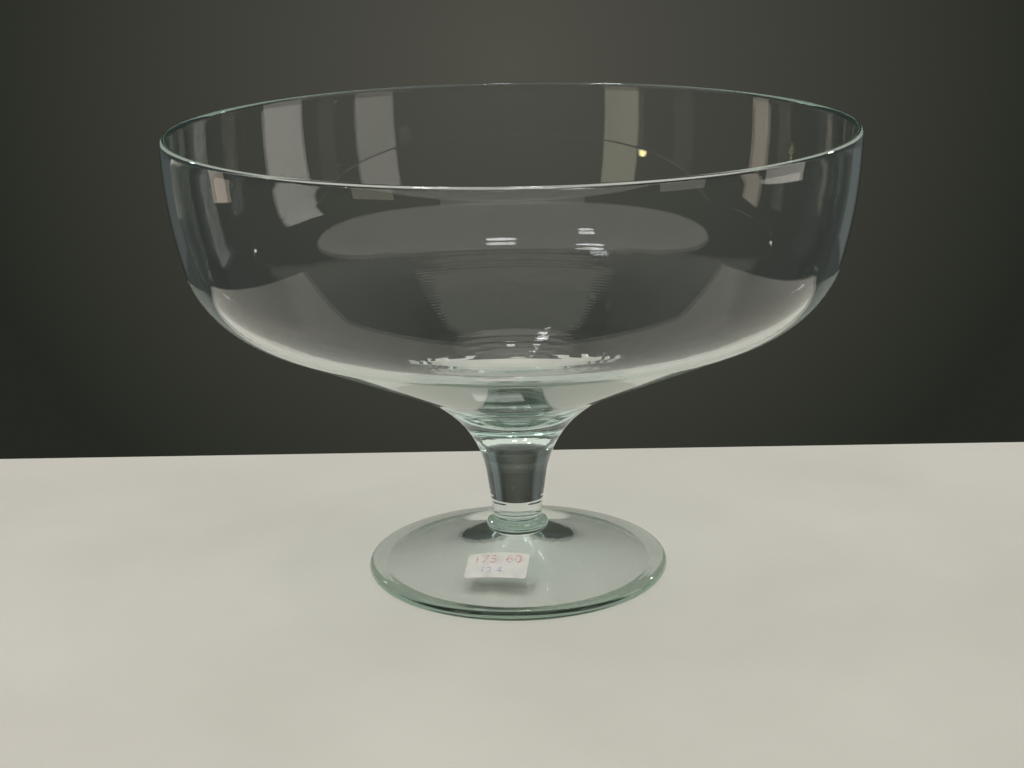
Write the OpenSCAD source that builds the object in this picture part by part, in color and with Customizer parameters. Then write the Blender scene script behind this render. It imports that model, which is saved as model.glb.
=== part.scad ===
// Footed trifle bowl of clear glass: a wide bowl with a rounded lower corner, whose underside
// runs down in a flare onto a short solid stem, and a round foot with a small collar on it.
// A paper price label lies on the foot. The axis of the bowl is Z, the table is at zero height
// and the front is towards -Y.

/* [Overall] */
// Outer diameter of the bowl at its lip
bowl_d = 240; // [200:1:280]
// Height of the lip above the table
total_h = 162; // [152:1:190]

/* [Bowl] */
// Thickness of the rounded lip and of the side wall
lip_t = 2.8; // [2:0.1:4]
// Radius of the slow curve of the side, seen in section
side_r = 166; // [130:1:240]
// Height above the stem at which the side ends and the rounded corner begins
belly_h = 72.6; // [64:0.2:84]
// Outer radius of the rounded corner between the side and the underside
corner_r = 35.5; // [28:0.5:42]
// How much thicker the glass grows round that corner
corner_gain = 0.7; // [0:0.1:4]
// Thickness of the glass between the bowl's hollow and the sweep of its underside
flare_t = 5.2; // [4:0.1:7]
// Radius of the rounded well at the bottom of the hollow, as a share of the widest that fits
well_share = 0.75; // [0.4:0.05:0.95]
// Thickness of the solid glass between the well and the top of the stem
base_t = 15.5; // [13:0.5:17]

/* [Rings in the throat] */
// Number of shallow rings round the throat of the bowl
ring_count = 5; // [3:1:6]
// Height from one ring to the next
ring_pitch = 2; // [1.6:0.1:2.4]
// Depth of each ring
ring_depth = 0.1; // [0.05:0.05:0.3]
// Height from the edge of the well to the lowest ring
ring_start = 0.5; // [0.2:0.1:2]

/* [Stem] */
// Radius of the flare that joins the stem to the bowl's underside
flare_r = 38; // [30:0.5:44]
// Radius of the slower curve above it, which leads into the bowl's underside
sweep_r = 78; // [60:1:110]
// Slope at which the flare passes into that slower curve
sweep_slope = 40; // [34:1:46]
// Diameter of the stem where it is thinnest, just above the collar
waist_d = 17.8; // [14:0.1:22]
// Slope of the stem's straight taper, where 90 is upright
taper_slope = 82; // [78:0.5:86]
// Height of the straight taper
taper_h = 14.5; // [10:0.5:18]
// Height of the part of the flare that belongs to the stem
flare_h = 9.8; // [7:0.1:13]
// Height of the collar and of the fillet above it
collar_h = 6.2; // [5:0.1:8]
// Diameter of the collar
collar_d = 22.4; // [20:0.1:26]
// Radius of the collar's rounding
collar_round_r = 2; // [1.5:0.1:2.5]
// Slope at which the collar's rounding turns in under itself, where it stands on the foot
collar_foot_slope = 45; // [30:1:60]

/* [Foot] */
// Diameter of the foot
foot_d = 109; // [90:1:130]
// Height of the foot in the middle, where the stem stands on it
foot_h = 15.5; // [12:0.5:18]
// Thickness of the foot's rounded edge
edge_t = 4.3; // [3:0.1:6]
// Slope of the foot's upper face next to the edge
edge_slope = 10; // [5:0.5:12]
// Width of the flat ring under the foot that stands on the table
tread_w = 5; // [3:0.2:9]
// Radius of the rounding from that ring into the hollow under the foot
tread_round_r = 2; // [1:0.1:4]
// Height of the conical hollow under the foot, in the middle
hollow_h = 10.5; // [7:0.1:11]
// Radius of the hollow's rounded top
hollow_round_r = 20; // [10:1:60]

/* [Price label] */
// Length of the label, from side to side
label_w = 22; // [16:1:30]
// Width of the label, measured on plan
label_l = 14; // [10:0.5:18]
// Thickness of the label's paper
label_t = 0.1; // [0.06:0.02:0.2]
// Thickness of the glue under the label
glue_t = 0.03; // [0.01:0.01:0.1]
// Distance from the axis to the middle of the label
label_reach = 27.4; // [24:0.2:34]
// Angle of the label round the axis, from the front towards -X
label_place = 16; // [-180:1:180]
// Turn of the label on the foot
label_turn = -8; // [-180:1:180]

/* [Hidden] */
$fn = 96;

arc_steps = 14;
ring_steps = 10;
least_step = bowl_d / 100000;
glass = [0.74, 0.86, 0.84, 0.45];

// Heights of the joints, from the table upwards
waist_z = foot_h + collar_h;
taper_z = waist_z + taper_h;
joint_z = taper_z + flare_h;
well_z = joint_z + base_t;

// An outline runs from the lip down to the axis. Its slope is 90 where it goes straight down,
// less where it leans towards the axis, 0 where it is level and over 90 where it leans away.
function outward(slope) = [sin(slope), -cos(slope)];

// An arc of an outline: each entry is a place and the slope there. A hollow arc, whose centre
// is outside the outline, has a negative radius.
function arc(centre, r, slope_from, slope_to) = [
    for (k = [0:arc_steps])
        let (slope = slope_from + (slope_to - slope_from) * k / arc_steps)
            [centre + r * outward(slope), slope]
];

// Slope of the straight line that touches one arc and then the next
function slope_between(centre_a, r_a, centre_b, r_b) =
    let (
        way = centre_b - centre_a,
        slope = atan2(way[1], way[0]) + 180 - asin((r_a - r_b) / norm(way))
    )
    slope - 360 * floor(slope / 360);

function places(path) = [for (entry = path) entry[0]];

// The side of the bowl starts upright just under the lip's rounding
side_top = [bowl_d / 2, total_h - lip_t / 2];
side_h = side_top[1] - joint_z - belly_h;
side_turn = asin(side_h / side_r);
side_slope = 90 - side_turn;
side_c = side_top - [side_r, 0];
corner_c = side_c + (side_r - corner_r) * outward(side_slope);
corner_inner_r = corner_r - lip_t - corner_gain;
corner_inner_c = side_c + (side_r - lip_t - corner_inner_r) * outward(side_slope);

// The flare is one arc that the bowl and the stem share, and the bowl's sweep follows above it
taper_top = [waist_d / 2 + taper_h / tan(taper_slope), taper_z];
flare_c = taper_top + flare_r * outward(taper_slope);
joint_slope = acos((joint_z - flare_c[1]) / flare_r);
sweep_c = flare_c + (sweep_r - flare_r) * outward(sweep_slope);
under_slope = slope_between(corner_c, corner_r, sweep_c, -sweep_r);

// The hollow follows the same sweep, thicker by the glass, and narrows into the well. The
// widest well that fits would touch the sweep, with no straight stretch between them.
throat_r = sweep_r + flare_t;
well_way = [0, well_z] - sweep_c;
widest_well_r = (well_way * well_way - throat_r * throat_r) / (2 * (throat_r - well_way[1]));
well_r = well_share * widest_well_r;
well_c = [0, well_z + well_r];
floor_slope = slope_between(corner_inner_c, corner_inner_r, sweep_c, -throat_r);
throat_slope = slope_between(sweep_c, -throat_r, well_c, well_r);

// The fillet leaves the taper at the waist and touches the collar's rounding
collar_rise = collar_round_r * cos(collar_foot_slope);
collar_c = [collar_d / 2 - collar_round_r, foot_h + collar_rise];
waist = [waist_d / 2, waist_z];
waist_way = waist - collar_c;
fillet_r = (waist_way * waist_way - collar_round_r * collar_round_r)
    / (2 * (collar_round_r - waist_way * outward(taper_slope)));
fillet_c = waist + fillet_r * outward(taper_slope);
fillet_way = fillet_c - collar_c;
collar_slope = atan2(fillet_way[0], -fillet_way[1]);

// The foot's upper face is one hollow arc from its edge up to the collar
edge_r = edge_t / 2;
edge_c = [foot_d / 2 - edge_r, edge_r];
face_foot = edge_c + edge_r * outward(180 - edge_slope);
face_top = collar_c + collar_round_r * outward(collar_foot_slope);
face_way = face_top - face_foot;
face_r = face_way * face_way / (2 * face_way * outward(180 - edge_slope));
face_c = face_foot + face_r * outward(180 - edge_slope);
face_top_slope = 180 - asin((face_c[0] - face_top[0]) / face_r);

// The hollow under the foot is a cone that rounds into the tread below and closes in a dome
tread_c = [edge_c[0] - tread_w, tread_round_r];
hollow_c = [0, hollow_h - hollow_round_r];
hollow_slope = slope_between(tread_c, tread_round_r, hollow_c, -hollow_round_r);

// Depth of the rings at a height in the throat, from none to their full depth and back
ring_low_z = well_c[1] - well_r * cos(throat_slope) + ring_start;
ring_top_z = ring_low_z + ring_count * ring_pitch;
function ring_depth_at(z) =
    z < ring_low_z || z > ring_top_z ? 0 : ring_depth * (1 - cos(360 * (z - ring_low_z) / ring_pitch)) / 2;

// The stretch of the throat that holds the rings: places in even steps of height
function throat_place(z) =
    let (
        touch_z = sweep_c[1] - throat_r * outward(throat_slope)[1],
        well_touch = well_c + well_r * outward(throat_slope),
        slope = z > touch_z ? acos(min(1, (z - sweep_c[1]) / throat_r)) : throat_slope,
        r = z > touch_z
            ? sweep_c[0] - throat_r * sin(slope)
            : well_touch[0] + (z - well_touch[1]) / tan(throat_slope)
    )
    [[r, z] + ring_depth_at(z) * outward(slope), slope];

function throat() = [
    for (k = [0:ring_count * ring_steps])
        throat_place(ring_low_z + k * ring_pitch / ring_steps)
];

// The outline without the places where one arc ends and the next begins at the same spot
function without_repeats(outline) = [
    for (k = [0:len(outline) - 1])
        if (norm(outline[(k + 1) % len(outline)] - outline[k]) > least_step) outline[k]
];

module turned(outline) {
    rotate_extrude() polygon(without_repeats(outline));
}

module bowl() {
    outside = concat(
        arc(side_c, side_r, 90, side_slope),
        arc(corner_c, corner_r, side_slope, under_slope),
        arc(sweep_c, -sweep_r, under_slope, sweep_slope),
        arc(flare_c, -flare_r, sweep_slope, joint_slope)
    );
    inside = concat(
        arc(well_c, well_r, 0, throat_slope),
        throat(),
        arc(sweep_c, -throat_r, throat_place(ring_top_z)[1], floor_slope),
        arc(corner_inner_c, corner_inner_r, floor_slope, side_slope),
        arc(side_c, side_r - lip_t, side_slope, 90)
    );
    lip = arc(side_top - [lip_t / 2, 0], lip_t / 2, 270, 90);
    color(glass)
        turned(concat(places(outside), [[0, joint_z]], places(inside), places(lip)));
}

module stem() {
    side = concat(
        arc(flare_c, -flare_r, joint_slope, taper_slope),
        arc(fillet_c, -fillet_r, taper_slope, collar_slope),
        arc(collar_c, collar_round_r, collar_slope, collar_foot_slope)
    );
    color(glass)
        turned(concat([[0, joint_z]], places(side), [[0, foot_h]]));
}

module foot() {
    face = arc(face_c, -face_r, face_top_slope, 180 - edge_slope);
    edge = arc(edge_c, edge_r, 180 - edge_slope, 0);
    tread = arc(tread_c, tread_round_r, 360, hollow_slope);
    hollow = arc(hollow_c, -hollow_round_r, hollow_slope, 360);
    color(glass)
        turned(concat([[0, foot_h]], places(face), places(edge), places(tread), places(hollow)));
}

// The label follows the foot's upper face on a film of glue
module price_label() {
    under = arc(face_c, glue_t - face_r, face_top_slope, 180 - edge_slope);
    upper = arc(face_c, glue_t + label_t - face_r, 180 - edge_slope, face_top_slope);
    color("white")
        intersection() {
            turned(concat(places(under), places(upper)));
            rotate(-label_place)
                translate([0, -label_reach, foot_h / 2])
                    rotate(label_place + label_turn)
                        cube([label_w, label_l, foot_h], center = true);
        }
}

bowl();
stem();
foot();
price_label();
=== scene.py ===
"""Dresses the footed trifle bowl: its blown bowl, stem, foot and price label, on a pale table."""

import logging
import math
from dataclasses import dataclass
from enum import Enum
from typing import Any

import bpy
from mathutils import Matrix, Vector


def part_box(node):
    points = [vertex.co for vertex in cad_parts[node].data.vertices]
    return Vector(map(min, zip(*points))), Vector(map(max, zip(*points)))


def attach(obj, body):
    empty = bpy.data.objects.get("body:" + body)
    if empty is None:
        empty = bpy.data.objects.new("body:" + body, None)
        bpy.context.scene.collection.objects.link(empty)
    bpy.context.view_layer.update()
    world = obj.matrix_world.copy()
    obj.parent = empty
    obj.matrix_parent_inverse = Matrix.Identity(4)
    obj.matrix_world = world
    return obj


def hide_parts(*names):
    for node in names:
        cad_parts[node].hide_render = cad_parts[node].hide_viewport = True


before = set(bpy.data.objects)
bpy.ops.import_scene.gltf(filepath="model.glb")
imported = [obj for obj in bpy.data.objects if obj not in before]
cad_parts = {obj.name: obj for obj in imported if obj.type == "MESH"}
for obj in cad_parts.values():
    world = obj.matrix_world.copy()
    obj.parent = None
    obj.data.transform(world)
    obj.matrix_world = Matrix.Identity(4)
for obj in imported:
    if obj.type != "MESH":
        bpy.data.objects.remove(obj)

LOG = logging.getLogger("trifle_bowl")
MM = 0.001
LEAST_ARC_STEPS = 4
Point = tuple[float, float]
Colour = tuple[float, float, float]


class Body(Enum):
    """Bodies of the part that pieces ride on."""

    ROOT = "root"


class Slot(Enum):
    """Material slots of the record."""

    BOWL = "bowl_glass"
    STEM = "stem_glass"
    FOOT = "foot_glass"
    LABEL = "label_paper"


class Outline(Enum):
    """Outlines of a lamp."""

    DISK = "ELLIPSE"
    PANEL = "RECTANGLE"


@dataclass(frozen=True)
class Circle:
    """A circle that an outline runs along, in radius and height. A hollow stretch has a negative radius."""

    x: float
    z: float
    radius: float

    def at(self, slope: float) -> Point:
        """Point at which the outline has a slope.

        Args:
            slope: Degrees, 90 where the outline runs straight down and 0 where it is level.

        Returns:
            Radius and height of the point.
        """
        turn = math.radians(slope)
        return self.x + self.radius * math.sin(turn), self.z - self.radius * math.cos(turn)

    def run(self, start: float, end: float, spacing: float) -> list[Point]:
        """Points along the circle from one slope to another.

        Args:
            start: First slope, in degrees.
            end: Last slope, in degrees.
            spacing: Largest distance between points.

        Returns:
            The points, both ends included.
        """
        length = abs(self.radius * math.radians(end - start))
        steps = max(LEAST_ARC_STEPS, math.ceil(length / spacing))
        return [self.at(start + (end - start) * k / steps) for k in range(steps + 1)]

    def slope_to(self, other: "Circle") -> float:
        """Slope of the straight line that touches this circle and then another.

        Args:
            other: The circle that the line reaches.

        Returns:
            The slope, in degrees.
        """
        across, up = other.x - self.x, other.z - self.z
        lean = math.asin((self.radius - other.radius) / math.hypot(across, up))
        return (math.degrees(math.atan2(up, across) - lean) + 180) % 360


def line(start: Point, end: Point, spacing: float) -> list[Point]:
    """Points on a straight stretch of an outline.

    Args:
        start: First point.
        end: Last point.
        spacing: Largest distance between points.

    Returns:
        The points, both ends included.
    """
    steps = max(1, math.ceil(math.dist(start, end) / spacing))
    return [
        (start[0] + (end[0] - start[0]) * k / steps, start[1] + (end[1] - start[1]) * k / steps)
        for k in range(steps + 1)
    ]


@dataclass(frozen=True)
class GlassShape:
    """Sizes of the glass, and the circles that its outline follows.

    The main heights and diameters come from the frame.
    """

    lip_r: float
    top_z: float
    joint_z: float
    collar_z: float
    foot_r: float
    lip_t: float = 2.8 * MM
    side_r: float = 166 * MM
    belly_h: float = 72.6 * MM
    corner_r: float = 35.5 * MM
    corner_gain: float = 0.7 * MM
    flare_t: float = 5.2 * MM
    well_share: float = 0.75
    base_t: float = 15.5 * MM
    flare_r: float = 38 * MM
    flare_h: float = 9.8 * MM
    sweep_r: float = 78 * MM
    sweep_slope: float = 40.0
    waist_d: float = 17.8 * MM
    taper_slope: float = 82.0
    taper_h: float = 14.5 * MM
    collar_d: float = 22.4 * MM
    collar_round_r: float = 2 * MM
    collar_foot_slope: float = 45.0
    edge_t: float = 4.3 * MM
    edge_slope: float = 10.0
    tread_w: float = 5 * MM
    tread_round_r: float = 2 * MM
    hollow_h: float = 10.5 * MM
    hollow_round_r: float = 20 * MM

    @classmethod
    def from_frame(cls) -> "GlassShape":
        """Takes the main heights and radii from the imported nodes.

        Returns:
            The sizes.
        """
        bowl_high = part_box("bowl")[1]
        stem_low, stem_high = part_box("stem")
        return cls(
            lip_r=bowl_high.x,
            top_z=bowl_high.z,
            joint_z=stem_high.z,
            collar_z=stem_low.z,
            foot_r=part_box("foot")[1].x,
        )

    @property
    def side(self) -> Circle:
        """Outer face of the side."""
        return Circle(self.lip_r - self.side_r, self.top_z - self.lip_t / 2, self.side_r)

    @property
    def side_slope(self) -> float:
        """Slope at which the side ends and the corner begins."""
        side_h = self.side.z - self.joint_z - self.belly_h
        return 90 - math.degrees(math.asin(side_h / self.side_r))

    @property
    def corner(self) -> Circle:
        """Outer face of the rounded corner."""
        return self.inside_side(self.corner_r, 0)

    @property
    def corner_inner(self) -> Circle:
        """Inner face of the rounded corner."""
        return self.inside_side(self.corner_r - self.lip_t - self.corner_gain, self.lip_t)

    def inside_side(self, radius: float, depth: float) -> Circle:
        """Circle that touches the side where the corner begins.

        Args:
            radius: Its radius.
            depth: Distance of the face that it touches from the outer face.

        Returns:
            The circle.
        """
        x, z = Circle(self.side.x, self.side.z, self.side_r - depth - radius).at(self.side_slope)
        return Circle(x, z, radius)

    @property
    def flare(self) -> Circle:
        """Hollow face that the bowl's underside and the stem share, up to the sweep.

        Returns:
            Its circle.
        """
        top_x = self.waist_d / 2 + self.taper_h / math.tan(math.radians(self.taper_slope))
        x, z = Circle(top_x, self.joint_z - self.flare_h, self.flare_r).at(self.taper_slope)
        return Circle(x, z, -self.flare_r)

    @property
    def joint_slope(self) -> float:
        """Slope of the flare where the stem meets the bowl."""
        return math.degrees(math.acos((self.joint_z - self.flare.z) / self.flare_r))

    @property
    def sweep(self) -> Circle:
        """Slower curve from the flare into the bowl's underside."""
        x, z = Circle(self.flare.x, self.flare.z, self.sweep_r - self.flare_r).at(self.sweep_slope)
        return Circle(x, z, -self.sweep_r)

    @property
    def throat(self) -> Circle:
        """Face of the hollow over the sweep."""
        return Circle(self.sweep.x, self.sweep.z, self.sweep.radius - self.flare_t)

    @property
    def well(self) -> Circle:
        """Rounded bottom of the hollow, a share as wide as the widest that fits over the sweep.

        Returns:
            Its circle.
        """
        well_z = self.joint_z + self.base_t
        throat_r = -self.throat.radius
        up = well_z - self.throat.z
        widest_r = (self.throat.x ** 2 + up ** 2 - throat_r ** 2) / (2 * (throat_r - up))
        radius = self.well_share * widest_r
        return Circle(0, well_z + radius, radius)

    @property
    def collar(self) -> Circle:
        """Rounding of the collar on the foot."""
        rise = self.collar_round_r * math.cos(math.radians(self.collar_foot_slope))
        return Circle(self.collar_d / 2 - self.collar_round_r, self.collar_z + rise, self.collar_round_r)

    @property
    def fillet(self) -> Circle:
        """Hollow rounding from the waist to the collar.

        Returns:
            Its circle, which touches the taper and the collar's rounding.
        """
        waist = Vector((self.waist_d / 2, self.joint_z - self.flare_h - self.taper_h))
        way = waist - Vector((self.collar.x, self.collar.z))
        out = Vector(Circle(0, 0, 1).at(self.taper_slope))
        radius = (way.dot(way) - self.collar_round_r ** 2) / (2 * (self.collar_round_r - way.dot(out)))
        centre = waist + radius * out
        return Circle(centre.x, centre.y, -radius)

    @property
    def collar_slope(self) -> float:
        """Slope at which the fillet passes into the collar."""
        return math.degrees(math.atan2(self.fillet.x - self.collar.x, self.collar.z - self.fillet.z))

    @property
    def edge(self) -> Circle:
        """Rounded edge of the foot."""
        return Circle(self.foot_r - self.edge_t / 2, self.edge_t / 2, self.edge_t / 2)

    @property
    def face(self) -> Circle:
        """Upper face of the foot.

        Returns:
            Its circle, which touches the edge and runs up to the collar.
        """
        low = Vector(self.edge.at(180 - self.edge_slope))
        way = Vector(self.collar.at(self.collar_foot_slope)) - low
        out = Vector(Circle(0, 0, 1).at(180 - self.edge_slope))
        radius = way.dot(way) / (2 * way.dot(out))
        centre = low + radius * out
        return Circle(centre.x, centre.y, -radius)

    @property
    def face_top_slope(self) -> float:
        """Slope of the foot's upper face where it meets the collar."""
        top_x = self.collar.at(self.collar_foot_slope)[0]
        return 180 - math.degrees(math.asin((self.face.x - top_x) / -self.face.radius))

    @property
    def tread(self) -> Circle:
        """Rounding from the flat ring that stands on the table into the hollow under the foot."""
        return Circle(self.edge.x - self.tread_w, self.tread_round_r, self.tread_round_r)

    @property
    def hollow(self) -> Circle:
        """Rounded top of the conical hollow under the foot."""
        return Circle(0, self.hollow_h - self.hollow_round_r, -self.hollow_round_r)


def deselect_all() -> None:
    """Leaves no object selected."""
    bpy.ops.object.select_all(action="DESELECT")


@dataclass(frozen=True)
class Lathe:
    """Spins a half outline round the axis into one closed piece of glass."""

    steps: int = 256
    merge_gap: float = 0.002 * MM
    sharp_angle: float = 32.0
    level_normal: float = 0.999
    joint_attribute: str = "fused"

    def turn(self, name: str, outline: list[Point], joints: tuple[float, ...]) -> bpy.types.Object:
        """Draws an outline vertex by vertex and spins it.

        Args:
            name: Name of the piece.
            outline: Points of radius and height, from the axis and back to it.
            joints: Heights of the flat faces that are fused to the next piece.

        Returns:
            The piece, with its joint faces marked by an attribute.
        """
        first_r, first_z = outline[0]
        deselect_all()
        bpy.ops.mesh.primitive_plane_add(size=MM, location=(first_r, 0, first_z))
        piece = bpy.context.object
        piece.name = piece.data.name = name
        bpy.ops.object.transform_apply(location=True, rotation=False, scale=False)
        bpy.ops.object.mode_set(mode="EDIT")
        bpy.ops.mesh.select_mode(type="VERT")
        bpy.ops.mesh.select_all(action="SELECT")
        bpy.ops.mesh.merge(type="CENTER")
        for (r, z), (next_r, next_z) in zip(outline, outline[1:]):
            way = (next_r - r, 0, next_z - z)
            bpy.ops.mesh.extrude_region_move(TRANSFORM_OT_translate={"value": way})
        bpy.ops.mesh.select_all(action="SELECT")
        bpy.ops.mesh.spin(steps=self.steps, angle=math.tau, center=(0, 0, 0), axis=(0, 0, 1))
        bpy.ops.mesh.select_all(action="SELECT")
        bpy.ops.mesh.remove_doubles(threshold=self.merge_gap)
        bpy.ops.mesh.normals_make_consistent(inside=False)
        bpy.ops.object.mode_set(mode="OBJECT")
        bpy.ops.object.shade_smooth_by_angle(angle=math.radians(self.sharp_angle))
        self.mark_joints(piece, joints)
        return piece

    def mark_joints(self, piece: bpy.types.Object, joints: tuple[float, ...]) -> None:
        """Writes 1 on the level faces at the joint heights and 0 on all others.

        Args:
            piece: The turned piece.
            joints: Heights of its fused faces.
        """
        mark = piece.data.attributes.new(self.joint_attribute, "FLOAT", "FACE")
        for face in piece.data.polygons:
            level = abs(face.normal.z) > self.level_normal
            here = any(abs(face.center.z - z) < self.merge_gap for z in joints)
            mark.data[face.index].value = float(level and here)


@dataclass(frozen=True)
class Patches:
    """Soft random patches: how wide and how fine they are, and between which values they fade in."""

    size: float
    detail: float
    start: float
    full: float


class Shader:
    """A new material and the nodes that are added to it."""

    def __init__(self, name: str) -> None:
        """Starts the material with nothing but its output.

        Args:
            name: Name of the material.
        """
        self.material = bpy.data.materials.new(name)
        self.material.use_nodes = True
        self.tree = self.material.node_tree
        self.tree.nodes.clear()
        self.output = self.add("ShaderNodeOutputMaterial")
        self.place = self.add("ShaderNodeTexCoord").outputs["Object"]

    def add(self, kind: str, inputs: dict[str | int, Any] | None = None, **settings: Any) -> bpy.types.Node:
        """Adds a node.

        Args:
            kind: Its type.
            inputs: Its inputs by name or number. A socket is linked and a plain value is set.
            **settings: Its other settings.

        Returns:
            The node.
        """
        node = self.tree.nodes.new(kind)
        for name, value in settings.items():
            setattr(node, name, value)
        for name, value in (inputs or {}).items():
            if isinstance(value, bpy.types.NodeSocket):
                self.tree.links.new(value, node.inputs[name])
            else:
                node.inputs[name].default_value = value
        return node

    def math(self, operation: str, *values: Any) -> bpy.types.NodeSocket:
        """Adds a calculation.

        Args:
            operation: What is done with the values.
            *values: Numbers or sockets.

        Returns:
            Its result.
        """
        return self.add("ShaderNodeMath", dict(enumerate(values)), operation=operation).outputs[0]

    def noise(self, size: float, detail: float) -> bpy.types.NodeSocket:
        """Adds a soft random value in the piece's own place.

        Args:
            size: Rough distance over which it changes.
            detail: How much finer it gets within.

        Returns:
            A value between 0 and 1.
        """
        inputs = {"Vector": self.place, "Scale": 1 / size, "Detail": detail}
        return self.add("ShaderNodeTexNoise", inputs).outputs["Fac"]

    def patches(self, patches: Patches) -> bpy.types.NodeSocket:
        """Adds soft random patches, as a share between 0 and 1."""
        return self.between(self.noise(patches.size, patches.detail), patches.start, patches.full)

    def between(
        self, value: Any, low: float, high: float, start: float = 0, end: float = 1
    ) -> bpy.types.NodeSocket:
        """Maps a range of a value to another, and stops at its ends.

        Args:
            value: The socket to map.
            low: Where the range begins.
            high: Where it ends.
            start: Result at its beginning.
            end: Result at its end.

        Returns:
            The mapped value.
        """
        inputs = {"Value": value, "From Min": low, "From Max": high, "To Min": start, "To Max": end}
        return self.add("ShaderNodeMapRange", inputs).outputs["Result"]

    def blend(self, share: Any, first: Colour, second: Colour) -> bpy.types.NodeSocket:
        """Mixes two colours.

        Args:
            share: Share of the second colour.
            first: The first colour.
            second: The second colour.

        Returns:
            The mixed colour.
        """
        node = self.add("ShaderNodeMix", {"Factor": share}, data_type="RGBA")
        for socket, colour in zip((s for s in node.inputs if s.type == "RGBA"), (first, second)):
            socket.default_value = (*colour, 1)
        return next(s for s in node.outputs if s.type == "RGBA")

    def relief(self, height: Any) -> bpy.types.NodeSocket:
        """Normal of a surface that has a relief, whose height is in metres."""
        return self.add("ShaderNodeBump", {"Height": height, "Distance": 1.0}).outputs["Normal"]


@dataclass(frozen=True)
class ClearGlass:
    """Clear soda-lime glass that turns aqua where light runs far through it.

    Slow waves and the fine rings of the tools stand in its surface, and a thin film lies on it.
    The lamps shine through it onto what is under it. band_width is the width of one band of
    the wave texture at scale 1.
    """

    tint: Colour = (0.35, 0.80, 0.70)
    tint_density: float = 8.0
    ior: float = 1.52
    fused_ior: float = 1.0
    wave_size: float = 45 * MM
    wave_detail: float = 1.0
    wave_depth: float = 0.05 * MM
    mark_pitch: float = 1.7 * MM
    mark_detail: float = 1.0
    mark_depth: float = 0.004 * MM
    mark_top: float = 118 * MM
    mark_fade: float = 30 * MM
    mark_wander: float = 5.0
    band_width: float = math.tau / 20
    film_patches: Patches = Patches(28 * MM, 4.0, 0.45, 0.75)
    film: Colour = (0.985, 0.99, 0.988)
    bare: Colour = (1.0, 1.0, 1.0)
    lamp_share: Colour = (0.965, 0.97, 0.968)
    longest_path: float = 2.5
    path_tint: Colour = (0.78, 0.84, 0.82)

    def tool_marks(self, shader: Shader) -> bpy.types.NodeSocket:
        """Fine rings round the axis, which fade out towards the top.

        Args:
            shader: The material that gets them.

        Returns:
            Their height.
        """
        scale = self.band_width / self.mark_pitch
        rings = shader.add(
            "ShaderNodeTexWave",
            {
                "Vector": shader.place,
                "Scale": scale,
                "Distortion": self.mark_wander,
                "Detail": self.mark_detail,
                "Detail Scale": self.mark_pitch / self.film_patches.size,
            },
            wave_type="RINGS",
            rings_direction="SPHERICAL",
        ).outputs["Fac"]
        up = shader.add("ShaderNodeSeparateXYZ", {"Vector": shader.place}).outputs["Z"]
        strength = shader.between(up, self.mark_top, self.mark_top - self.mark_fade, 0, self.mark_depth)
        return shader.math("MULTIPLY", rings, strength)

    def material(self, name: str) -> bpy.types.Material:
        """Makes the glass of one piece.

        Args:
            name: Name of the material.

        Returns:
            The material, whose fused faces bend no light.
        """
        shader = Shader(name)
        swell = shader.noise(self.wave_size, self.wave_detail)
        waves = shader.math("MULTIPLY", swell, self.wave_depth)
        height = shader.math("ADD", waves, self.tool_marks(shader))
        film = shader.patches(self.film_patches)
        fused = shader.add("ShaderNodeAttribute", attribute_name=Lathe.joint_attribute).outputs["Fac"]
        glass = shader.add(
            "ShaderNodeBsdfGlass",
            {
                "Color": shader.blend(film, self.bare, self.film),
                "Roughness": 0.0,
                "IOR": shader.between(fused, 0, 1, self.ior, self.fused_ior),
                "Normal": shader.relief(height),
            },
        )
        inputs = {"Color": (*self.tint, 1), "Density": self.tint_density}
        volume = shader.add("ShaderNodeVolumeAbsorption", inputs)
        surface = self.let_light_through(shader, glass.outputs["BSDF"])
        shader.tree.links.new(surface, shader.output.inputs["Surface"])
        shader.tree.links.new(volume.outputs["Volume"], shader.output.inputs["Volume"])
        return shader.material

    def let_light_through(self, shader: Shader, surface: bpy.types.NodeSocket) -> bpy.types.NodeSocket:
        """Lets light that stays trapped leak out tinted, and lets the lamps shine through.

        Args:
            shader: The glass material.
            surface: Its surface, which bends and mirrors light.

        Returns:
            The surface with both ways through it.
        """
        path = shader.add("ShaderNodeLightPath")
        trapped = shader.math("GREATER_THAN", path.outputs["Glossy Depth"], self.longest_path)
        leak = shader.add("ShaderNodeBsdfTransparent", {"Color": (*self.path_tint, 1)})
        clear = shader.add("ShaderNodeBsdfTransparent", {"Color": (*self.lamp_share, 1)})
        ways = (
            (trapped, leak),
            (path.outputs["Is Diffuse Ray"], clear),
            (path.outputs["Is Shadow Ray"], clear),
        )
        for share, way in ways:
            inputs = {0: share, 1: surface, 2: way.outputs["BSDF"]}
            surface = shader.add("ShaderNodeMixShader", inputs).outputs[0]
        return surface


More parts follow.
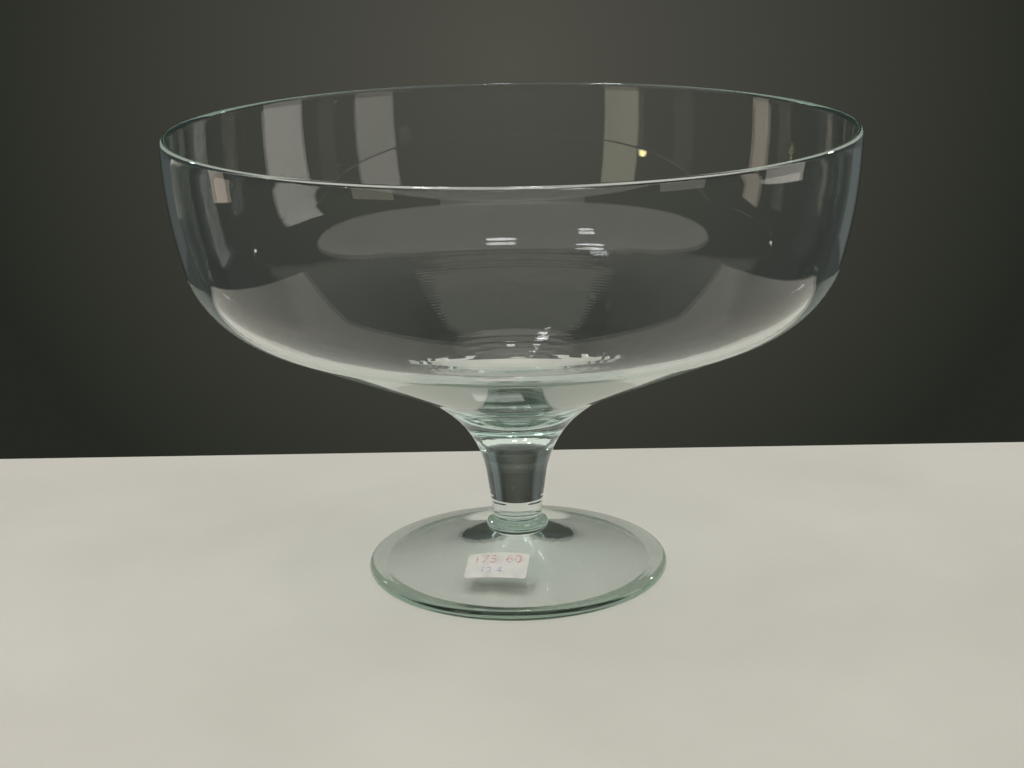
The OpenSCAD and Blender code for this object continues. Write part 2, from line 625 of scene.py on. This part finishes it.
@dataclass(frozen=True)
class Paper:
    """Matt white label paper, with fibres and a few grey smudges."""

    white: Colour = (0.86, 0.83, 0.81)
    smudge: Colour = (0.72, 0.68, 0.66)
    smudge_patches: Patches = Patches(5 * MM, 5.0, 0.45, 0.8)
    fibre_size: float = 0.25 * MM
    fibre_detail: float = 3.0
    fibre_depth: float = 0.008 * MM
    roughness: float = 0.75

    def material(self, name: str) -> bpy.types.Material:
        """Makes the paper.

        Args:
            name: Name of the material.

        Returns:
            The material.
        """
        shader = Shader(name)
        fibres = shader.noise(self.fibre_size, self.fibre_detail)
        worn = shader.patches(self.smudge_patches)
        surface = shader.add(
            "ShaderNodeBsdfPrincipled",
            {
                "Base Color": shader.blend(worn, self.white, self.smudge),
                "Roughness": self.roughness,
                "Normal": shader.relief(shader.math("MULTIPLY", fibres, self.fibre_depth)),
            },
        )
        shader.tree.links.new(surface.outputs["BSDF"], shader.output.inputs["Surface"])
        return shader.material


@dataclass(frozen=True)
class StampInk:
    """Thin stamp ink that has worn off in spots and shows the paper there."""

    colour: Colour
    paper: Colour = Paper.white
    worn_patches: Patches = Patches(0.7 * MM, 3.0, 0.35, 0.62)
    roughness: float = 0.7

    def material(self, name: str) -> bpy.types.Material:
        """Makes the ink.

        Args:
            name: Name of the material.

        Returns:
            The material.
        """
        shader = Shader(name)
        colour = shader.blend(shader.patches(self.worn_patches), self.colour, self.paper)
        inputs = {"Base Color": colour, "Roughness": self.roughness}
        surface = shader.add("ShaderNodeBsdfPrincipled", inputs)
        shader.tree.links.new(surface.outputs["BSDF"], shader.output.inputs["Surface"])
        return shader.material


@dataclass(frozen=True)
class Layer:
    """Lays thin flat sheets on a surface."""

    spacing: float = 1.0 * MM
    smooth_angle: float = 35.0

    def cut_grid(self, centre: Vector, turn: float, width: float, length: float) -> None:
        """Cuts the sheet in edit mode into squares, so that it can bend.

        Args:
            centre: Middle of the sheet.
            turn: Angle that it is turned by, in radians.
            width: Its size along its own X.
            length: Its size along its own Y.
        """
        for angle, reach in ((turn, width), (turn + math.pi / 2, length)):
            across = Vector((math.cos(angle), math.sin(angle), 0))
            steps = math.ceil(reach / self.spacing)
            for k in range(1, steps):
                bpy.ops.mesh.select_all(action="SELECT")
                bpy.ops.mesh.bisect(plane_co=centre + across * reach * (k / steps - 0.5), plane_no=across)

    def lay(self, sheet: bpy.types.Object, under: bpy.types.Object, gap: float, thickness: float) -> None:
        """Drops the active sheet onto a surface and gives it a thickness.

        Args:
            sheet: The sheet, which faces up.
            under: The piece that it lands on.
            gap: Height that it keeps over the surface.
            thickness: Its thickness.
        """
        drop = sheet.modifiers.new("drop", "SHRINKWRAP")
        drop.target = under
        drop.wrap_method = "PROJECT"
        drop.use_project_z = True
        drop.use_positive_direction = False
        drop.use_negative_direction = True
        bpy.ops.object.modifier_apply(modifier=drop.name)
        bpy.ops.object.mode_set(mode="EDIT")
        bpy.ops.mesh.select_all(action="SELECT")
        bpy.ops.transform.translate(value=(0, 0, gap))
        bpy.ops.object.mode_set(mode="OBJECT")
        wall = sheet.modifiers.new("wall", "SOLIDIFY")
        wall.thickness = thickness
        wall.offset = 1
        bpy.ops.object.modifier_apply(modifier=wall.name)
        bpy.ops.object.shade_smooth_by_angle(angle=math.radians(self.smooth_angle))


@dataclass(frozen=True)
class Bowl:
    """The blown bowl, from its lip down to the joint with the stem."""

    shape: GlassShape
    lathe: Lathe
    grain: float = 1.0 * MM
    side_grain: float = 3.0 * MM
    well_grain: float = 0.5 * MM
    lip_grain: float = 0.25 * MM
    ring_count: int = 5
    ring_pitch: float = 2 * MM
    ring_depth: float = 0.1 * MM
    ring_start: float = 0.5 * MM
    ring_steps: int = 14

    def outside(self) -> list[Point]:
        """Draws the outer face, from the lip down to the joint.

        Returns:
            Its points.
        """
        s = self.shape
        under_slope = s.corner.slope_to(s.sweep)
        return [
            *s.side.run(90, s.side_slope, self.side_grain),
            *s.corner.run(s.side_slope, under_slope, self.grain),
            *line(s.corner.at(under_slope), s.sweep.at(under_slope), self.grain)[1:-1],
            *s.sweep.run(under_slope, s.sweep_slope, self.grain),
            *s.flare.run(s.sweep_slope, s.joint_slope, self.grain)[1:],
        ]

    @property
    def ring_low_z(self) -> float:
        """Height at which the lowest ring begins, over the edge of the well."""
        s = self.shape
        return s.well.at(s.throat.slope_to(s.well))[1] + self.ring_start

    def ring_shift(self, z: float) -> float:
        """Depth of the shallow rings at a height in the throat.

        Args:
            z: The height.

        Returns:
            The depth, none outside the rings.
        """
        turns = (z - self.ring_low_z) / self.ring_pitch
        if not 0 < turns < self.ring_count:
            return 0.0
        return self.ring_depth * (1 - math.cos(math.tau * turns)) / 2

    def throat_point(self, z: float) -> Point:
        """Point of the throat at a height, with the rings cut into it.

        Args:
            z: Height of the point before the ring moves it.

        Returns:
            Radius and height of the point.
        """
        s = self.shape
        touch_slope = s.throat.slope_to(s.well)
        touch_r, touch_z = s.well.at(touch_slope)
        if z > s.throat.at(touch_slope)[1]:
            slope = self.throat_slope(z)
            r = s.throat.at(slope)[0]
        else:
            slope = touch_slope
            r = touch_r + (z - touch_z) / math.tan(math.radians(slope))
        return Circle(r, z, self.ring_shift(z)).at(slope)

    def throat_slope(self, z: float) -> float:
        """Slope of the throat at a height."""
        return math.degrees(math.acos((z - self.shape.throat.z) / -self.shape.throat.radius))

    def inside(self) -> list[Point]:
        """Draws the inner face, from the bottom of the well up to the lip.

        Returns:
            Its points.
        """
        s = self.shape
        ring_step = self.ring_pitch / self.ring_steps
        ring_points = self.ring_count * self.ring_steps + 1
        ring_top_z = self.ring_low_z + self.ring_count * self.ring_pitch
        floor_slope = s.corner_inner.slope_to(s.throat)
        return [
            *s.well.run(0, s.throat.slope_to(s.well), self.well_grain)[:-1],
            *(self.throat_point(self.ring_low_z + k * ring_step) for k in range(ring_points)),
            *s.throat.run(self.throat_slope(ring_top_z), floor_slope, self.grain)[1:],
            *line(s.throat.at(floor_slope), s.corner_inner.at(floor_slope), self.grain)[1:-1],
            *s.corner_inner.run(floor_slope, s.side_slope, self.grain),
            *Circle(s.side.x, s.side.z, s.side_r - s.lip_t).run(s.side_slope, 90, self.side_grain)[1:],
        ]

    def build(self) -> bpy.types.Object:
        """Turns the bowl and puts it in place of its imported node.

        Returns:
            The bowl.
        """
        s = self.shape
        lip = Circle(s.lip_r - s.lip_t / 2, s.side.z, s.lip_t / 2)
        outline = [
            (0, s.joint_z),
            *reversed(self.outside()),
            *lip.run(90, 270, self.lip_grain)[1:-1],
            *reversed(self.inside()),
        ]
        bowl = self.lathe.turn("blown_bowl", outline, (s.joint_z,))
        bowl.data.materials.append(ClearGlass().material("bowl_glass"))
        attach(bowl, Body.ROOT.value)
        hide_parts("bowl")
        return bowl


@dataclass(frozen=True)
class Stem:
    """The solid stem, with its collar on the foot."""

    shape: GlassShape
    lathe: Lathe
    grain: float = 0.6 * MM
    round_grain: float = 0.2 * MM
    joint_gap: float = 0.02 * MM

    def build(self) -> bpy.types.Object:
        """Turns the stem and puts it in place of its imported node.

        Returns:
            The stem.
        """
        s = self.shape
        top_z = s.joint_z - self.joint_gap
        low_z = s.collar_z + self.joint_gap
        side = [
            *s.flare.run(s.joint_slope, s.taper_slope, self.grain),
            *line(s.flare.at(s.taper_slope), s.fillet.at(s.taper_slope), self.grain)[1:-1],
            *s.fillet.run(s.taper_slope, s.collar_slope, self.round_grain),
            *s.collar.run(s.collar_slope, s.collar_foot_slope, self.round_grain)[1:],
        ]
        side = [(r, z) for r, z in side if low_z < z < top_z]
        outline = [(0, top_z), (side[0][0], top_z), *side, (side[-1][0], low_z), (0, low_z)]
        stem = self.lathe.turn("drawn_stem", outline, (top_z, low_z))
        stem.data.materials.append(ClearGlass().material("stem_glass"))
        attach(stem, Body.ROOT.value)
        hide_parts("stem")
        return stem


@dataclass(frozen=True)
class Foot:
    """The round foot with its rounded edge, in which light that stays trapped turns green-grey."""

    shape: GlassShape
    lathe: Lathe
    grain: float = 0.9 * MM
    round_grain: float = 0.3 * MM
    longest_path: float = 1.5
    path_tint: Colour = (0.55, 0.60, 0.55)

    def build(self) -> bpy.types.Object:
        """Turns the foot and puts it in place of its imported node.

        Returns:
            The foot.
        """
        s = self.shape
        cone_slope = s.tread.slope_to(s.hollow)
        outline = [
            (0, s.collar_z),
            (s.collar.at(s.collar_foot_slope)[0], s.collar_z),
            *s.face.run(s.face_top_slope, 180 - s.edge_slope, self.grain)[1:],
            *s.edge.run(180 - s.edge_slope, 0, self.round_grain)[1:],
            *line(s.edge.at(0), s.tread.at(0), self.grain)[1:-1],
            *s.tread.run(360, cone_slope, self.round_grain),
            *line(s.tread.at(cone_slope), s.hollow.at(cone_slope), self.grain)[1:-1],
            *s.hollow.run(cone_slope, 360, self.grain),
        ]
        foot = self.lathe.turn("pressed_foot", outline, (s.collar_z,))
        glass = ClearGlass(longest_path=self.longest_path, path_tint=self.path_tint)
        foot.data.materials.append(glass.material("foot_glass"))
        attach(foot, Body.ROOT.value)
        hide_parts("foot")
        return foot


@dataclass(frozen=True)
class Stamp:
    """One line of stamped figures, placed from the middle of the label."""

    name: str
    figures: str
    ink: StampInk
    size: float
    across: float
    up: float


@dataclass(frozen=True)
class PriceLabel:
    """The small paper label on the front of the foot, with two lines of worn figures."""

    foot: bpy.types.Object
    layer: Layer = Layer()
    width: float = 22 * MM
    length: float = 14 * MM
    corner_r: float = 1.2 * MM
    corner_steps: int = 5
    paper_t: float = 0.1 * MM
    glue_t: float = 0.03 * MM
    ink_gap: float = 0.012 * MM
    ink_t: float = 0.006 * MM
    reach: float = 27.4 * MM
    place: float = 16.0
    turn: float = -8.0
    stamps: tuple[Stamp, ...] = (
        Stamp("red_figures_left", "175", StampInk((0.66, 0.12, 0.16)), 6.0 * MM, -4.6 * MM, 3.2 * MM),
        Stamp("red_figures_right", "60", StampInk((0.66, 0.12, 0.16)), 6.0 * MM, 5.6 * MM, 3.4 * MM),
        Stamp("blue_figures", "12 4", StampInk((0.14, 0.12, 0.55)), 4.6 * MM, -1.9 * MM, -2.9 * MM),
    )

    def centre(self, across: float = 0, up: float = 0) -> Vector:
        """Place over the label.

        Args:
            across: Distance from its middle along its width.
            up: Distance from its middle along its length.

        Returns:
            The place, above the foot.
        """
        side, turn = math.radians(self.place), math.radians(self.turn)
        middle = Vector((-self.reach * math.sin(side), -self.reach * math.cos(side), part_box("foot")[1].z))
        return middle + Matrix.Rotation(turn, 4, "Z") @ Vector((across, up, 0))

    def paper(self) -> bpy.types.Object:
        """Cuts the paper, rounds its corners and sticks it on the foot.

        Returns:
            The paper.
        """
        turn = math.radians(self.turn)
        deselect_all()
        bpy.ops.mesh.primitive_plane_add(size=1, location=self.centre(), rotation=(0, 0, turn))
        label = bpy.context.object
        label.name = label.data.name = "paper_label"
        label.scale = (self.width, self.length, 1)
        bpy.ops.object.transform_apply(location=True, rotation=True, scale=True)
        bpy.ops.object.mode_set(mode="EDIT")
        bpy.ops.mesh.select_all(action="SELECT")
        bpy.ops.mesh.bevel(offset=self.corner_r, segments=self.corner_steps, affect="VERTICES")
        self.layer.cut_grid(self.centre(), turn, self.width, self.length)
        bpy.ops.object.mode_set(mode="OBJECT")
        self.layer.lay(label, self.foot, self.glue_t, self.paper_t)
        label.data.materials.append(Paper().material("label_paper"))
        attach(label, Body.ROOT.value)
        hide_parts("price_label")
        return label

    def stamp(self, label: bpy.types.Object, stamp: Stamp) -> bpy.types.Object:
        """Prints one line of figures on the label.

        Args:
            label: The label.
            stamp: The line.

        Returns:
            The thin ink.
        """
        turn = math.radians(self.turn)
        centre = self.centre(stamp.across, stamp.up)
        deselect_all()
        bpy.ops.object.text_add(location=centre, rotation=(0, 0, turn))
        ink = bpy.context.object
        ink.data.body = stamp.figures
        ink.data.size = stamp.size
        ink.data.align_x = ink.data.align_y = "CENTER"
        bpy.ops.object.convert(target="MESH")
        ink = bpy.context.object
        ink.name = ink.data.name = stamp.name
        bpy.ops.object.transform_apply(location=True, rotation=True, scale=True)
        bpy.ops.object.mode_set(mode="EDIT")
        self.layer.cut_grid(centre, turn, self.width, stamp.size)
        bpy.ops.object.mode_set(mode="OBJECT")
        self.layer.lay(ink, label, self.ink_gap, self.ink_t)
        ink.data.materials.append(stamp.ink.material(stamp.name))
        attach(ink, Body.ROOT.value)
        return ink

    def build(self) -> bpy.types.Object:
        """Makes the paper and prints it.

        Returns:
            The paper.
        """
        label = self.paper()
        for stamp in self.stamps:
            self.stamp(label, stamp)
        return label


@dataclass(frozen=True)
class Viewpoint:
    """The photograph's camera: a level one turned a little, tipped down and rolled."""

    distance: float = 653.8 * MM
    height: float = 257.8 * MM
    focal_px: float = 1898.0
    frame_px: float = 1024.0
    sensor: float = 36.0
    yaw: float = -0.105
    pitch: float = 16.097
    roll: float = -0.985

    def build(self) -> None:
        """Adds the camera and makes it the scene's."""
        yaw, pitch, roll = (math.radians(a) for a in (self.yaw, self.pitch, self.roll))
        ahead = math.cos(pitch)
        forward = Vector((math.sin(yaw) * ahead, math.cos(yaw) * ahead, -math.sin(pitch)))
        level = Vector((math.cos(yaw), -math.sin(yaw), 0))
        upright = level.cross(forward)
        right = math.cos(roll) * level + math.sin(roll) * upright
        up = -math.sin(roll) * level + math.cos(roll) * upright
        place = Vector((0, -self.distance, self.height))
        bpy.ops.object.camera_add()
        camera = bpy.context.object
        turn = Matrix((right, up, -forward)).transposed().to_4x4()
        camera.matrix_world = Matrix.Translation(place) @ turn
        camera.data.sensor_width = self.sensor
        camera.data.lens = self.focal_px * self.sensor / self.frame_px
        bpy.context.scene.camera = camera


@dataclass(frozen=True)
class Lamp:
    """A flat lamp that looks at the bowl."""

    name: str
    place: tuple[float, float, float]
    width: float
    height: float
    radiance: float
    colour: Colour = (1.0, 1.0, 1.0)
    outline: Outline = Outline.DISK
    target: tuple[float, float, float] = (0, 0, 0.08)

    def build(self) -> None:
        """Adds the lamp."""
        bpy.ops.object.light_add(type="AREA", location=self.place)
        lamp = bpy.context.object
        lamp.name = self.name
        aim = Vector(self.target) - Vector(self.place)
        lamp.rotation_euler = aim.to_track_quat("-Z", "Y").to_euler()
        lamp.data.shape = self.outline.value
        lamp.visible_camera = False
        lamp.data.size = self.width
        lamp.data.size_y = self.height
        lamp.data.color = self.colour
        area = self.width * self.height * (math.pi / 4 if self.outline is Outline.DISK else 1)
        lamp.data.energy = self.radiance * math.pi * area


@dataclass(frozen=True)
class Studio:
    """The pale table top, the dark wall behind it, which glows with painted light, and the lamps."""

    table_back: float = 0.135
    table_front: float = -0.165
    table_half_w: float = 0.32
    table_gap: float = 0.1 * MM
    table_pale: Colour = (0.82, 0.80, 0.76)
    table_shade: Colour = (0.74, 0.72, 0.68)
    table_patches: Patches = Patches(130 * MM, 3.0, 0.35, 0.7)
    table_roughness: float = 0.9
    table_gloss: float = 0.1
    weave_size: float = 1.1 * MM
    weave_detail: float = 1.0
    weave_depth: float = 0.12 * MM
    wall_place: tuple[float, float, float] = (0, 1.6, -0.1)
    wall_size: float = 1.36
    # The wall's colours are painted light: the wall glows by itself, brightest round its middle and dimmer
    # towards its edge.
    wall_middle: tuple[float, float, float] = (0.0, 1.6, 0.0)
    wall_fade: float = 0.68
    wall_middle_glow: Colour = (0.078, 0.078, 0.064)
    wall_edge_glow: Colour = (0.019, 0.021, 0.016)
    room_colour: Colour = (0.05, 0.056, 0.054)
    lamps: tuple[Lamp, ...] = (
        Lamp("ceiling", (0, -0.3, 1.75), 4.4, 3.0, 0.75, (1.0, 0.95, 0.84)),
        Lamp("front_fill", (0, -2.3, 1.5), 2.6, 0.9, 0.5, (1.0, 0.95, 0.86), Outline.PANEL),
        Lamp("window", (2.1, 0.10, 0.35), 0.7, 1.3, 1.8, (1.0, 0.96, 0.86), Outline.PANEL),
        Lamp("cupboard", (1.75, -1.35, 0.25), 0.6, 1.0, 1.2, (1.0, 0.96, 0.86), Outline.PANEL),
        Lamp("door", (-1.45, -1.60, 0.25), 0.5, 1.1, 1.2, (1.0, 0.95, 0.72), Outline.PANEL),
        Lamp("warm_curtain", (-2.05, 0.50, 0.05), 0.30, 0.8, 1.5, (1.0, 0.84, 0.68), Outline.PANEL),
        Lamp("right_edge_light", (1.0, 1.50, 0.12), 0.45, 1.04, 0.08, (0.86, 1.0, 0.97), Outline.PANEL),
        Lamp("left_edge_light", (-1.0, 1.50, 0.12), 0.45, 1.04, 0.035, (0.86, 1.0, 0.97), Outline.PANEL),
        Lamp("ceiling_lamp", (-0.46, -0.11, 1.70), 0.11, 0.11, 80.0),
        Lamp("ceiling_lamp_back", (-0.26, 0.65, 1.65), 0.11, 0.11, 60.0),
        Lamp("back_lamp", (0.05, 0.30, 1.68), 0.13, 0.13, 60.0),
        Lamp("right_spark", (1.35, 1.25, 0.95), 0.10, 0.10, 60.0),
        Lamp("left_spark", (-1.35, 1.25, 0.95), 0.10, 0.10, 60.0),
        Lamp("yellow_bulb", (-1.85, -1.5, 0.44), 0.12, 0.12, 12.0, (1.0, 0.85, 0.40)),
    )

    def table(self) -> None:
        """Lays the table top, with its fine weave, and leaves a film of air under the foot."""
        deselect_all()
        depth = self.table_back - self.table_front
        middle = (0, self.table_back - depth / 2, -self.table_gap)
        bpy.ops.mesh.primitive_plane_add(size=1, location=middle)
        table = bpy.context.object
        table.name = "table_top"
        table.scale = (self.table_half_w * 2, depth, 1)
        bpy.ops.object.transform_apply(location=True, rotation=False, scale=True)
        shader = Shader("pale_table")
        soft = shader.patches(self.table_patches)
        threads = shader.noise(self.weave_size, self.weave_detail)
        weave = shader.math("MULTIPLY", threads, self.weave_depth)
        surface = shader.add(
            "ShaderNodeBsdfPrincipled",
            {
                "Base Color": shader.blend(soft, self.table_pale, self.table_shade),
                "Roughness": self.table_roughness,
                "Specular IOR Level": self.table_gloss,
                "Normal": shader.relief(weave),
            },
        )
        shader.tree.links.new(surface.outputs["BSDF"], shader.output.inputs["Surface"])
        table.data.materials.append(shader.material)

    def wall(self) -> None:
        """Stands the dark wall behind the table, which glows with painted light, brighter in its middle as
        a painted pool of light.
        """
        deselect_all()
        bpy.ops.mesh.primitive_plane_add(
            size=self.wall_size, location=self.wall_place, rotation=(math.pi / 2, 0, 0)
        )
        wall = bpy.context.object
        wall.name = "room_wall"
        bpy.ops.object.transform_apply(location=True, rotation=True, scale=False)
        shader = Shader("painted_glow_wall")
        inputs = {0: shader.place, 1: self.wall_middle}
        reach = shader.add("ShaderNodeVectorMath", inputs, operation="DISTANCE").outputs["Value"]
        colour = shader.blend(shader.between(reach, 0, self.wall_fade), self.wall_middle_glow, self.wall_edge_glow)
        # Painted glow: the wall shines by itself, brighter round its middle, though it is no lamp.
        surface = shader.add("ShaderNodeEmission", {"Color": colour, "Strength": 1.0})
        shader.tree.links.new(surface.outputs["Emission"], shader.output.inputs["Surface"])
        wall.data.materials.append(shader.material)

    def build(self) -> None:
        """Builds the stage round the bowl."""
        self.table()
        self.wall()
        world = bpy.context.scene.world or bpy.data.worlds.new("room")
        bpy.context.scene.world = world
        world.use_nodes = True
        world.node_tree.nodes["Background"].inputs["Color"].default_value = (*self.room_colour, 1)
        for lamp in self.lamps:
            lamp.build()
        bpy.context.scene.view_settings.view_transform = "Standard"


def main() -> None:
    """Builds the bowl piece by piece, then the stage and the camera."""
    logging.basicConfig(level=logging.INFO, format="%(message)s")
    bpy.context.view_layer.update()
    shape = GlassShape.from_frame()
    lathe = Lathe()
    makers = (Bowl(shape, lathe), Stem(shape, lathe), Foot(shape, lathe))
    bowl, stem, foot = (maker.build() for maker in makers)
    label = PriceLabel(foot).build()
    for piece in (bowl, stem, foot, label):
        LOG.info("%s: %d faces", piece.name, len(piece.data.polygons))
    Studio().build()
    Viewpoint().build()


if __name__ == "__main__":
    main()
